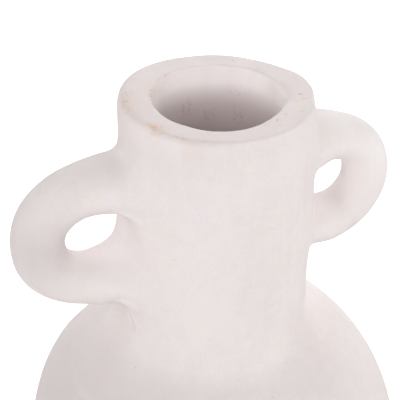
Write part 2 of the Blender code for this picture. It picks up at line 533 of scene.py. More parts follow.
class ClayDistance:
    """Node group for the distance from any point to the vase's surface, below zero inside the clay."""

    NAME = "clay_distance"
    TINY = 0.0001
    # Stretches round the axis: the middle bearing and the half width, in degrees
    FRONT = (-112.0, 62.0)
    SOFT_MOUTH = (-22.0, 26.0)
    CRISP_LIP = (-70.0, 100.0)
    SMEAR = (-177.0, 40.0)
    # Seed and number of finer layers of each noise
    LONG_NOISE = (3.0, 0.0)
    SHORT_NOISE = (7.0, 1.0)
    RIM_NOISE = (11.0, 1.0)
    SMEAR_LEAN = 0.55
    SMEAR_SINK = 0.012
    SMEAR_DEPTH = 0.012
    LEAN_BAND = (0.125, 0.080)
    THROAT_BAND = (0.0, 0.040)
    FLARE_BAND = (0.045, 0.123)
    BORE_BLEND = 0.020
    LONG_SWELL = 0.085
    SHORT_SWELL = 0.030
    SHORT_SHARE = 0.35
    RIM_SWELL = 0.030
    RIM_WAVE = 0.0006
    FOOT_BAND = (0.101, 0.129)
    FLUSH_BAND = (-0.002, -0.016)
    UNDER_UPPER_ROOT = (0.036, 0.043, 0.050, 0.062)
    OVER_LOWER_ROOT = (0.056, 0.064, 0.074, 0.082)

    def __init__(self, hand: HandWork) -> None:
        """Builds the group.

        Args:
            hand: where the potter's hand left the clay uneven.
        """
        inputs = {"Handle Lines": Socket.GEOMETRY, **VaseSizes.sockets()}
        self.tree = new_tree(self.NAME, "GeometryNodeTree", inputs, {"Distance": Socket.NUMBER})
        self.nodes = Nodes(self.tree)
        self.hand = hand
        self.place = self.nodes.result("GeometryNodeInputPosition")
        self.x, self.y, self.z = self.nodes.split(self.place)
        self.around = self.nodes.hypot(self.x, self.y)
        self.drop = self._size("rim_height") - self.z
        self.nodes.feed(self.tree.nodes["out"].inputs["Distance"], self._vase())

    def _size(self, name: str) -> Field:
        """A size, from the group's input of that name."""
        return self.nodes.given(socket_name(name))

    def _lobe(self, bearing_deg: float, half_width_deg: float) -> Field:
        """One at a bearing round the axis, fading to zero a half width away from it."""
        bearing = math.radians(bearing_deg)
        facing = self.x * math.cos(bearing) + self.y * math.sin(bearing)
        facing = facing / self.nodes.math("MAXIMUM", self.around, self.TINY)
        return self.nodes.ease(facing, math.cos(math.radians(half_width_deg)), 1.0)

    def _lobes(self, lobes: Sequence[Lobe]) -> Field:
        """The summed heights of several lobes at this bearing."""
        return sum(self._lobe(lobe.bearing_deg, lobe.half_width_deg) * lobe.height for lobe in lobes)

    def _band(self, value: Field, edges: Tuple[float, float, float, float]) -> Field:
        """One between the two middle edges, fading to zero at the outer ones."""
        start, full, fading, end = edges
        return self.nodes.ease(value, start, full) * self.nodes.ease(value, end, fading)

    def _neck_radius(self) -> Field:
        """The neck's outer radius at this height, before the hand's presses."""
        spread = self._size("neck_foot_radius") - self._size("rim_radius")
        taper = spread / (self._size("rim_height") - self._size("neck_foot_height"))
        return self._size("rim_radius") + self.drop * taper

    def _neck(self) -> Field:
        """The neck, drawn in or out at its foot, and stopped inside the belly."""
        drawn = self._lobes(self.hand.foot_lobes) * self.nodes.ease(self.drop, *self.FOOT_BAND)
        side = self.around - self._neck_radius() - drawn
        return self.nodes.math("MAXIMUM", side, self._size("seam_height") - self.z)

    def _belly(self) -> Field:
        """The belly: a sphere over the seam, and a flatter arc turned about Z under it."""
        rise = self.z - self._size("seam_height")
        radius = self._size("belly_radius") + self._size("belly_swell")
        arc = self._size("bowl_arc_radius")
        above = self.nodes.math("GREATER_THAN", rise, 0.0)
        centre = (radius - arc) * (1.0 - above)
        arc_radius = self.nodes.blend(above, arc, radius)
        out = self.around - centre
        return self.nodes.hypot(out, rise) - arc_radius

    def _smear(self) -> Field:
        """Clay smeared up the neck's foot under the left handle, stopped inside the belly."""
        foot = self._size("neck_foot_height")
        top = foot + self._size("smear_height")
        out = self.around - self._neck_radius()
        length = math.hypot(1.0, self.SMEAR_LEAN)
        slope = (out + (self.z - top) * self.SMEAR_LEAN) * (1.0 / length)
        sunk = (1.0 - self._lobe(*self.SMEAR)) * self.SMEAR_SINK
        return self.nodes.math("MAXIMUM", slope + sunk, foot - self.SMEAR_DEPTH - self.z)

    def _handles(self) -> Field:
        """Both handles: ropes that are flattened, and spread where they are pressed onto the neck."""
        nodes = self.nodes
        out = nodes.math("ABSOLUTE", self.x) - self._neck_radius()
        pressed = nodes.ease(out, self._size("handle_root_blend"), 0.0)
        left, right = self._size("left_handle_thickness"), self._size("right_handle_thickness")
        thickness = nodes.blend(nodes.math("GREATER_THAN", self.x, 0.0), left, right)
        width = nodes.blend(pressed, self._size("handle_width"), self._size("handle_root_width"))
        sample = nodes.join(self.x, self.y * thickness / width, self.z)
        feeds = {"Geometry": nodes.given("Handle Lines"), "Sample Position": sample}
        apart = nodes.result("GeometryNodeProximity", {"target_element": "EDGES"}, feeds, "Distance")
        return apart - thickness / 2.0

    def _root_round(self) -> Field:
        """How far the handle roots are rounded: least under the upper ones, most on the left one's front."""
        left = self.nodes.math("LESS_THAN", self.x, 0.0)
        under = self._band(self.drop, self.UNDER_UPPER_ROOT)
        over = self._band(self.drop, self.OVER_LOWER_ROOT) * left
        flush = self.nodes.ease(self.y, *self.FLUSH_BAND) * left
        rounding = self.nodes.blend(under, self._size("root_round"), self._size("tight_root_round"))
        rounding = self.nodes.blend(over, rounding, self._size("loose_root_round"))
        return self.nodes.blend(flush, rounding, self._size("flush_root_round"))

    def _cavity(self) -> Field:
        """The hollow: a bore set to the neck's front left, with a throat, and the belly less its wall."""
        in_neck = self.nodes.ease(self.drop, *self.LEAN_BAND)
        x = self.x + self._size("mouth_left") * in_neck
        y = self.y + self._size("mouth_front") * in_neck
        draw = self.nodes.ease(self.drop, *self.THROAT_BAND) * self._size("throat_draw")
        flare = self.nodes.ease(self.drop, *self.FLARE_BAND) * self._size("bore_flare")
        bore = self.nodes.hypot(x, y) - self._size("mouth_radius") + draw - flare
        bore = bore + self._lobes(self.hand.mouth_lobes) * in_neck
        bore = self.nodes.math("MAXIMUM", bore, self._size("seam_height") - self.z)
        inside = self._belly() + self._size("belly_wall")
        hollow = self.nodes.math("SMOOTH_MIN", bore, inside, self.BORE_BLEND)
        return self.nodes.math("MAXIMUM", hollow, self._size("floor_thickness") - self.z)

    def _pressed(self, body: Field) -> Field:
        """A body's distance, with each hand press and the clay's slow swells put into it."""
        nodes = self.nodes
        sample = nodes.join(self.x, self.y, self.drop)
        for press in self.hand.presses:
            feeds = {0: sample, 1: press.centre}
            apart = nodes.result("ShaderNodeVectorMath", {"operation": "DISTANCE"}, feeds, "Value")
            body = body - nodes.ease(apart, press.reach, 0.0) * press.swell
        swell = nodes.noise(self.place, self.LONG_SWELL, *self.LONG_NOISE)
        short = nodes.noise(self.place, self.SHORT_SWELL, *self.SHORT_NOISE)
        return body + (swell + short * self.SHORT_SHARE) * self._size("hand_swell")

    def _rim_top(self) -> Field:
        """Height over the rim's top, which dips to the front left and waves a little."""
        rise = self.y * self._size("rim_rise_back") + self.x * self._size("rim_rise_right")
        wave = self.nodes.noise(self.place, self.RIM_SWELL, *self.RIM_NOISE) * self.RIM_WAVE
        return -self.drop - rise / self._size("rim_radius") - wave

    def _vase(self) -> Field:
        """The whole vase."""
        nodes = self.nodes
        smeared = self._lobe(*self.SMEAR)
        front = self._lobe(*self.FRONT)
        fillet = nodes.blend(smeared, self._size("fillet_right"), self._size("fillet_left"))
        fillet = nodes.blend(front, fillet, self._size("fillet_front"))
        belly = nodes.math("SMOOTH_MIN", self._belly(), self._smear(), self._size("smear_blend"))
        body = nodes.math("SMOOTH_MIN", self._neck(), belly, fillet)
        body = nodes.math("SMOOTH_MIN", body, self._handles(), self._root_round())
        body = self._pressed(body)
        top = self._rim_top()
        crowned = top - self._lobes(self.hand.rim_crowns)
        crisp = self._lobe(*self.CRISP_LIP)
        lip_round = nodes.blend(crisp, self._size("lip_round"), self._size("lip_front_round"))
        body = nodes.math("SMOOTH_MAX", body, crowned, lip_round)
        body = nodes.math("SMOOTH_MAX", body, top, self._size("lip_edge"))
        body = nodes.math("SMOOTH_MAX", body, -self.z, self._size("foot_round"))
        soft = self._lobe(*self.SOFT_MOUTH)
        mouth_round = nodes.blend(soft, self._size("mouth_round"), self._size("mouth_soft_round"))
        return nodes.math("SMOOTH_MAX", body, -self._cavity(), mouth_round)


class FiredSkin:
    """The vase's one continuous surface: meshed from its distance field, refined and settled."""

    NAME = "fired_vase"
    MARGIN = 0.006
    SETTLE_STEPS = 3
    SETTLE_SHARE = 0.85
    VOXEL = 0.0027
    LINE_STEPS = 12
    MOST_SIDES = 4
    LIP_DEPTH = 0.011
    LIP_LEVELS = 2
    SMEAR_ACROSS = (-0.010, 0.020)
    SMEAR_DEEP = (-0.034, 0.016)
    SMEAR_TALL = (0.004, 0.028)
    SMEAR_LEVELS = 2
    ROOT_DROPS = (0.020, 0.098)
    ROOT_REACH = 0.014
    ROOT_HALF_WIDTH = 0.024
    ROOT_LEVELS = 1

    def __init__(self, sizes: VaseSizes, handles: Sequence[EarHandle], hand: HandWork) -> None:
        """Keeps the shape's parts.

        Args:
            sizes: the vase's sizes.
            handles: its two handles.
            hand: where the potter's hand left the clay uneven.
        """
        self.sizes = sizes
        self.handles = handles
        self.distance = ClayDistance(hand)

    def build(self, coat: bpy.types.Material) -> bpy.types.Object:
        """Makes the skin.

        Args:
            coat: the material that it wears.

        Returns:
            The skin, as a plain closed mesh at the origin.
        """
        lines = self._handle_lines()
        raised = self._run_tree(self._raising_tree(coat), bpy.data.meshes.new("seed"), lines)
        for zone in self._zones():
            self._refine(raised, zone)
        mesh = self._run_tree(self._settling_tree(coat), raised, lines)
        bpy.data.objects.remove(lines, do_unlink=True)
        mesh.name = self.NAME
        return put_in_scene(self.NAME, mesh)

    def _handle_lines(self) -> bpy.types.Object:
        """Both handles' centre lines, as an object of edges."""
        curve = bpy.data.curves.new("handle_lines", "CURVE")
        curve.dimensions = "3D"
        curve.resolution_u = self.LINE_STEPS
        for handle in self.handles:
            points = handle.centre_line(self.sizes)
            spline = curve.splines.new("BEZIER")
            spline.bezier_points.add(len(points) - 1)
            for knot, place in zip(spline.bezier_points, points):
                knot.co = place
                knot.handle_left_type = "AUTO"
                knot.handle_right_type = "AUTO"
        return put_in_scene("handle_lines", take_mesh(put_in_scene("handle_curves", curve)))

    def _start_tree(self, name: str) -> Tuple[Nodes, Field]:
        """A geometry tree that takes every size, with the distance group fed from them.

        Args:
            name: the tree's name.

        Returns:
            The tree's nodes, and the distance to the surface.
        """
        sizes = VaseSizes.sockets()
        inputs = {"Geometry": Socket.GEOMETRY, "Lines": Socket.OBJECT, "Voxel": Socket.NUMBER, **sizes}
        nodes = Nodes(new_tree(name, "GeometryNodeTree", inputs, {"Geometry": Socket.GEOMETRY}))
        feeds = {label: nodes.given(label) for label in sizes}
        asked = {"Object": nodes.given("Lines")}
        feeds["Handle Lines"] = nodes.result("GeometryNodeObjectInfo", feeds=asked, output="Geometry")
        return nodes, nodes.result("GeometryNodeGroup", {"node_tree": self.distance.tree}, feeds)

    def _end_tree(
        self,
        nodes: Nodes,
        geometry: Field,
        distance: Field,
        coat: bpy.types.Material,
    ) -> bpy.types.NodeTree:
        """Settles a mesh onto the surface, shades it smooth and coats it, at the end of a tree.

        Args:
            nodes: the tree's nodes.
            geometry: the mesh.
            distance: distance to the surface.
            coat: the material.

        Returns:
            The finished tree.
        """
        normal = nodes.result("GeometryNodeInputNormal")
        for _ in range(self.SETTLE_STEPS):
            feeds = {0: normal, "Scale": distance * -self.SETTLE_SHARE}
            shift = nodes.result("ShaderNodeVectorMath", {"operation": "SCALE"}, feeds)
            geometry = nodes.result("GeometryNodeSetPosition", feeds={"Geometry": geometry, "Offset": shift})
        for kind in ("GeometryNodeSetShadeSmooth", "GeometryNodeRealizeInstances"):
            geometry = nodes.result(kind, feeds={"Geometry": geometry})
        coated = nodes.result("GeometryNodeSetMaterial", feeds={"Geometry": geometry, "Material": coat})
        nodes.feed(nodes.tree.nodes["out"].inputs["Geometry"], coated)
        return nodes.tree

    def _raising_tree(self, coat: bpy.types.Material) -> bpy.types.NodeTree:
        """The tree that meshes the whole distance field."""
        nodes, distance = self._start_tree("raise_skin")
        voxel = nodes.given("Voxel")
        reach = nodes.given(socket_name("belly_radius")) + self.MARGIN
        top = nodes.given(socket_name("rim_height")) + self.MARGIN
        across = reach * 2.0 / voxel
        volume = nodes.result(
            "GeometryNodeVolumeCube",
            feeds={
                "Density": -distance,
                "Background": -self.MARGIN,
                "Min": nodes.join(-reach, -reach, -self.MARGIN),
                "Max": nodes.join(reach, reach, top),
                "Resolution X": across,
                "Resolution Y": across,
                "Resolution Z": (top + self.MARGIN) / voxel,
            },
        )
        feeds = {"Volume": volume, "Threshold": 0.0}
        mesh = nodes.result("GeometryNodeVolumeToMesh", {"resolution_mode": "GRID"}, feeds)
        return self._end_tree(nodes, mesh, distance, coat)

    def _settling_tree(self, coat: bpy.types.Material) -> bpy.types.NodeTree:
        """The tree that settles a refined mesh onto the surface."""
        nodes, distance = self._start_tree("settle_skin")
        return self._end_tree(nodes, nodes.given("Geometry"), distance, coat)

    def _run_tree(
        self,
        tree: bpy.types.NodeTree,
        mesh: bpy.types.Mesh,
        lines: bpy.types.Object,
    ) -> bpy.types.Mesh:
        """Runs a tree on a mesh.

        Args:
            tree: the geometry tree.
            mesh: the mesh that it takes.
            lines: the handles' centre lines.

        Returns:
            The result, as a plain mesh.
        """
        work = put_in_scene(tree.name, mesh)
        modifier = work.modifiers.new(tree.name, "NODES")
        modifier.node_group = tree
        set_input(modifier, "Lines", lines)
        set_input(modifier, "Voxel", self.VOXEL)
        for item in fields(VaseSizes):
            set_input(modifier, socket_name(item.name), getattr(self.sizes, item.name))
        return take_mesh(work)

    def _zones(self) -> List[Zone]:
        """The boxes that are meshed finer: the rim, the smeared foot of the neck and the handle roots."""
        rim = self.sizes.rim_height
        neck = self.sizes.neck_foot_radius
        foot = self.sizes.neck_foot_height
        wide = self.sizes.belly_radius
        lip = Zone((-wide, -wide, rim - self.LIP_DEPTH), (wide, wide, rim + self.MARGIN), self.LIP_LEVELS)
        (left, right), (front, back), (low, high) = self.SMEAR_ACROSS, self.SMEAR_DEEP, self.SMEAR_TALL
        smear = Zone((left - neck, front, foot + low), (right - neck, back, foot + high), self.SMEAR_LEVELS)
        zones = [lip, smear]
        upper, lower = self.ROOT_DROPS
        for side in Side:
            middle = side.value * neck
            front_corner = (middle - self.ROOT_REACH, -self.ROOT_HALF_WIDTH, rim - lower)
            back_corner = (middle + self.ROOT_REACH, self.ROOT_HALF_WIDTH, rim - upper)
            zones.append(Zone(front_corner, back_corner, self.ROOT_LEVELS))
        return zones

    def _refine(self, mesh: bpy.types.Mesh, zone: Zone) -> None:
        """Splits the mesh's faces in a zone, once for each of its levels."""
        shape = bmesh.new()
        shape.from_mesh(mesh)
        low, high = np.array(zone.low), np.array(zone.high)
        for _ in range(zone.levels):
            centres = np.array([face.calc_center_median() for face in shape.faces])
            inside = np.all((centres > low) & (centres < high), axis=1)
            chosen = {edge for face, keep in zip(shape.faces, inside) if keep for edge in face.edges}
            edges = sorted(chosen, key=lambda edge: edge.index)
            bmesh.ops.subdivide_edges(shape, edges=edges, cuts=1, use_grid_fill=True)
            shape.edges.index_update()
        many_sided = [face for face in shape.faces if len(face.verts) > self.MOST_SIDES]
        bmesh.ops.triangulate(shape, faces=many_sided)
        shape.to_mesh(mesh)
        shape.free()


# Finishes

@dataclass(frozen=True)
class Limewash:
    """Matt lime slurry brushed over terracotta. Colours are linear and lengths are in metres."""

    coat: Colour = (0.840, 0.781, 0.770)
    # Fresh white lime, also the colour of painted light
    fresh: Colour = (0.955, 0.908, 0.902)
    thin_coat: Colour = (0.735, 0.652, 0.635)
    # Thinner lime inside, also the colour of painted shade in the hollow
    inside: Colour = (0.460, 0.355, 0.340)
    # Greyer lime, also the colour of painted shade
    grey: Colour = (0.565, 0.510, 0.512)
    cool: Colour = (0.838, 0.772, 0.788)
    warm: Colour = (0.842, 0.790, 0.752)
    clay: Colour = (0.780, 0.480, 0.290)
    # Colour of pinholes and chips, also of the painted shade under the lip and the mouth's edge
    pit: Colour = (0.430, 0.315, 0.275)
    soot: Colour = (0.300, 0.280, 0.270)
    roughness: float = 0.84
    rub_gloss: float = 0.10
    specular: float = 0.12
    broad_cloud: float = 0.0300
    fine_cloud: float = 0.0050
    streak_width: float = 0.0040
    streak_length: float = 0.0400
    fleck_size: float = 0.00065
    fleck_stretch: float = 2.8
    soot_size: float = 0.0018
    soot_stretch: float = 1.0
    pit_spacing: float = 0.0100
    pit_radius: float = 0.0005
    grain_size: float = 0.0011
    tint_size: float = 0.0170
    relief: float = 0.0004


class LimewashCoat:
    """Builds the limewash material and the node groups that it is mixed from."""

    CLOUD_SHARE = 0.34
    STREAK_SHARE = 0.30
    GRAIN_SHARE = 0.70
    RIM_SHARE = 0.36
    FRESH_SHARE = 0.85
    GREY_SHARE = 0.55
    INSIDE_SHARE = 0.50
    TINT_BAND = (-0.02, 0.30)
    SOOT_SHARE = 0.30
    STAIN_SHARE = 0.12
    WEAR_SHARE = 0.80
    PIT_SHARE = 0.30
    CHIP_SHARE = 0.60
    RELIEF_STRENGTH = 0.40
    GRAIN_RELIEF = 0.5
    STREAK_RELIEF = 0.5
    WEAR_RELIEF = 0.5
    FINE_CLOUD_SHARE = 0.5
    CLOUD_BAND = (-0.22, 0.28)
    FLECK_RADIUS = 0.038
    FLECK_GATHER = 0.34
    FLECK_BAND = (0.12, 0.42)
    FLECK_FADE = (0.02, 0.40)
    PIT_FLOOR = 0.4
    # Seed and number of finer layers of each noise
    BROAD_NOISE = (2.0, 3.0)
    FINE_NOISE = (5.0, 4.0)
    STREAK_NOISE = (8.0, 2.0)
    FLECK_NOISE = (17.0, 3.0)
    GRAIN_NOISE = (23.0, 3.0)
    COOL_NOISE = (31.0, 3.0)
    WARM_NOISE = (37.0, 3.0)

    def __init__(self, finish: Limewash) -> None:
        """Keeps the finish."""
        self.finish = finish

    def build(self) -> bpy.types.Material:
        """Makes the material.

        Returns:
            The limewash, which reads the skin's painted marks by their attributes.
        """
        finish = self.finish
        material, nodes, shader = new_material(COAT_SLOT)
        place = nodes.result("ShaderNodeTexCoord", output="Object")
        cloud = self._group(nodes, self._cloud_group(), place, finish.broad_cloud, finish.fine_cloud)
        streak = self._group(nodes, self._streak_group(), place, finish.streak_width, finish.streak_length)
        pit = self._group(nodes, self._pit_group(), place, finish.pit_spacing, finish.pit_radius)
        flecks = self._fleck_group()
        smudged, wear = self._mark(nodes, Mark.SMUDGE), self._mark(nodes, Mark.WEAR)
        soot = self._group(nodes, flecks, place, finish.soot_size, smudged, finish.soot_stretch)
        worn = self._group(nodes, flecks, place, finish.fleck_size, wear, finish.fleck_stretch)
        rim = self._attribute(nodes, RIM_ATTRIBUTE)
        grain = nodes.noise(place, finish.grain_size, *self.GRAIN_NOISE)
        thinned = cloud * self.CLOUD_SHARE + streak * self.STREAK_SHARE + grain * self.GRAIN_SHARE
        cool = nodes.ease(nodes.noise(place, finish.tint_size, *self.COOL_NOISE), *self.TINT_BAND)
        warm = nodes.ease(nodes.noise(place, finish.tint_size, *self.WARM_NOISE), *self.TINT_BAND)
        # Each layer's share and colour, from the lowest to the topmost
        layers = (
            (cool, finish.cool),
            (warm, finish.warm),
            (thinned, finish.thin_coat),
            # Fresh lime, and painted light
            (self._mark(nodes, Mark.FRESH) * self.FRESH_SHARE, finish.fresh),
            # Grey tone, and painted shade
            (self._mark(nodes, Mark.GREY) * self.GREY_SHARE, finish.grey),
            # Dust, and painted shade on upward-facing parts
            (self._mark(nodes, Mark.DUST) * self.GREY_SHARE, finish.grey),
            (rim * self.RIM_SHARE, finish.thin_coat),
            # Thinner lime inside, and painted shade darkening down the bore
            (self._attribute(nodes, HOLLOW_TONE_AND_SHADE_ATTRIBUTE) * self.INSIDE_SHARE, finish.inside),
            (soot * self.SOOT_SHARE, finish.soot),
            (self._mark(nodes, Mark.STAIN) * self.STAIN_SHARE, finish.clay),
            (worn * self.WEAR_SHARE, finish.clay),
            (pit * self.PIT_SHARE, finish.pit),
            # Chips, and painted shade in the creases under the edges
            (self._mark(nodes, Mark.CHIP) * self.CHIP_SHARE, finish.pit),
        )
        colour = (*finish.coat, 1.0)
        for share, layer in layers:
            colour = nodes.tint(share, colour, (*layer, 1.0))
        nodes.feed(shader.inputs["Base Color"], colour)
        nodes.feed(shader.inputs["Roughness"], finish.roughness - rim * finish.rub_gloss)
        shader.inputs["Specular IOR Level"].default_value = finish.specular
        raised = grain * self.GRAIN_RELIEF + streak * self.STREAK_RELIEF
        height = raised - pit - worn * self.WEAR_RELIEF
        feeds = {"Strength": self.RELIEF_STRENGTH, "Distance": finish.relief, "Height": height}
        nodes.feed(shader.inputs["Normal"], nodes.result("ShaderNodeBump", feeds=feeds))
        return material

    def _attribute(self, nodes: Nodes, name: str) -> Field:
        """A value painted on the mesh."""
        return nodes.result("ShaderNodeAttribute", {"attribute_name": name}, output="Fac")

    def _mark(self, nodes: Nodes, mark: Mark) -> Field:
        """How strong a kind of mark is here."""
        return self._attribute(nodes, mark.value)

    def _group(self, nodes: Nodes, tree: bpy.types.NodeTree, *values: object) -> Field:
        """Adds a group to the material, with its inputs' values in order, and takes its one output."""
        return nodes.result("ShaderNodeGroup", {"node_tree": tree}, dict(enumerate(values)))

    def _start_group(self, name: str, numbers: Sequence[str], output: str) -> Tuple[Nodes, List[Field]]:
        """A shader group that takes a place and some numbers, and puts out one number.

        Args:
            name: the group's name.
            numbers: names of the inputs that follow the place.
            output: the output's name.

        Returns:
            The group's nodes, and a field for each input.
        """
        inputs = {"Vector": Socket.VECTOR, **dict.fromkeys(numbers, Socket.NUMBER)}
        nodes = Nodes(new_tree(name, "ShaderNodeTree", inputs, {output: Socket.NUMBER}))
        return nodes, [nodes.given(label) for label in inputs]

    def _end_group(self, nodes: Nodes, value: Field) -> bpy.types.NodeTree:
        """Puts a value out of a group, and takes the finished tree."""
        nodes.feed(nodes.tree.nodes["out"].inputs[0], value)
        return nodes.tree

    def _cloud_group(self) -> bpy.types.NodeTree:
        """Group for the slurry's cloudy thickness: broad clouds with finer ones over them."""
        numbers = ("Broad Size", "Fine Size")
        nodes, (place, broad_size, fine_size) = self._start_group("slurry_cloud", numbers, "Cloud")
        broad = nodes.noise(place, broad_size, *self.BROAD_NOISE)
        fine = nodes.noise(place, fine_size, *self.FINE_NOISE)
        return self._end_group(nodes, nodes.ease(broad + fine * self.FINE_CLOUD_SHARE, *self.CLOUD_BAND))

    def _streak_group(self) -> bpy.types.NodeTree:
        """Group for the wiping marks that run up and down the walls."""
        nodes, (place, width, length) = self._start_group("wiping_streaks", ("Width", "Length"), "Streak")
        x, y, z = nodes.split(place)
        drawn = nodes.join(x, y, z * width / length)
        return self._end_group(nodes, nodes.noise(drawn, width, *self.STREAK_NOISE))

    def _fleck_group(self) -> bpy.types.NodeTree:
        """Group for flecks that gather where a mark is strong, drawn out round the axis by a stretch."""
        numbers = ("Size", "Mark", "Stretch")
        nodes, (place, size, mark, stretch) = self._start_group("flecks", numbers, "Fleck")
        x, y, z = nodes.split(place)
        around = nodes.hypot(x, y)
        along = nodes.math("ARCTAN2", x, -y) * self.FLECK_RADIUS / stretch
        spread = nodes.noise(nodes.join(along, around, z), size, *self.FLECK_NOISE)
        shown = nodes.ease(spread + mark * self.FLECK_GATHER, *self.FLECK_BAND)
        return self._end_group(nodes, shown * nodes.ease(mark, *self.FLECK_FADE))

    def _pit_group(self) -> bpy.types.NodeTree:
        """Group for the few pinholes that the slurry did not fill."""
        nodes, (place, spacing, radius) = self._start_group("pinholes", ("Spacing", "Radius"), "Pit")
        feeds = {"Vector": place, "Scale": 1.0 / spacing}
        apart = nodes.result("ShaderNodeTexVoronoi", feeds=feeds, output="Distance")
        size = radius / spacing
        return self._end_group(nodes, nodes.ease(apart, size, size * self.PIT_FLOOR))


class SkinMarks:
    """Paints on the skin where its lime is worn, stained, smudged or thin, and its painted shade and painted
    light, as mesh attributes.
    """

    RIM_BAND = (0.0040, 0.0070)
    UP_BAND = (0.20, 0.80)
    DUST_BAND = (0.42, 0.64)
    HOLLOW_BAND = (0.0080, 0.0180)

    def __init__(self, sizes: VaseSizes, patches: Sequence[MarkPatch]) -> None:
        """Keeps the sizes that the marks follow, and the marked patches."""
        self.sizes = sizes
        self.patches = patches

    def paint(self, mesh: bpy.types.Mesh) -> None:
        """Stores every mark on the mesh's points.

        Args:
            mesh: the skin's mesh.
        """
        places = self._vectors(mesh.vertices, "co")
        upward = self._vectors(mesh.vertex_normals, "vector")[:, 2]
        inside = self._inside(places)
        for mark in Mark:
            strength = self._patched(places, mark)
            # Painted shade: darker the more the surface faces up, where the shoulder turns up from the neck's
            # foot
            if mark is Mark.DUST:
                strength = strength * np.interp(upward, self.DUST_BAND, (0.0, 1.0))
            if mark is Mark.SMUDGE:
                strength = strength * inside
            self._store(mesh, mark.value, strength)
        # The hollow's wall darkens from the rim down: thinner lime inside, and painted shade deeper in the
        # bore and belly
        drop = self.sizes.rim_height - places[:, 2]
        hollow = inside * np.interp(drop, self.HOLLOW_BAND, (0.0, 1.0))
        self._store(mesh, HOLLOW_TONE_AND_SHADE_ATTRIBUTE, hollow)
        facing_up = np.interp(upward, self.UP_BAND, (0.0, 1.0))
        self._store(mesh, RIM_ATTRIBUTE, facing_up * np.interp(drop, self.RIM_BAND, (1.0, 0.0)))

    def _vectors(self, points: Sequence[bpy.types.bpy_struct], name: str) -> np.ndarray:
        """A named vector of each of the mesh's points, one to a row."""
        vectors = np.empty(len(points) * 3)
        points.foreach_get(name, vectors)
        return vectors.reshape(-1, 3)

    def _patched(self, places: np.ndarray, mark: Mark) -> np.ndarray:
        """How strong one kind of mark is at each point."""
        strength = np.zeros(len(places))
        for patch in self.patches:
            if patch.mark is mark:
                bearing = math.radians(patch.bearing_deg)
                across = patch.radius * math.cos(bearing), patch.radius * math.sin(bearing)
                centre = np.array((*across, self.sizes.rim_height - patch.drop))
                apart = np.linalg.norm(places - centre, axis=1)
                strength = np.maximum(strength, patch.strength * np.exp(-((apart / patch.reach) ** 2)))
        return strength

    def _inside(self, places: np.ndarray) -> np.ndarray:
        """One at each point of the hollow's wall, zero on the outside."""
        sizes = self.sizes
        around = np.hypot(places[:, 0], places[:, 1])
        middle_of_wall = (sizes.mouth_radius + sizes.rim_radius) / 2
        in_bore = (around < middle_of_wall) & (places[:, 2] > sizes.neck_foot_height - sizes.belly_wall)
        from_centre = np.hypot(around, places[:, 2] - sizes.seam_height)
        in_ball = from_centre < sizes.belly_radius - sizes.belly_wall / 2
        over_floor = places[:, 2] > sizes.floor_thickness / 2
        return (in_bore | (in_ball & over_floor)).astype(float)

    def _store(self, mesh: bpy.types.Mesh, name: str, values: np.ndarray) -> None:
        """Puts one value for each point on the mesh."""
        attribute = mesh.attributes.new(name, "FLOAT", "POINT")
        attribute.data.foreach_set("value", values.astype(np.float32))


# The vase

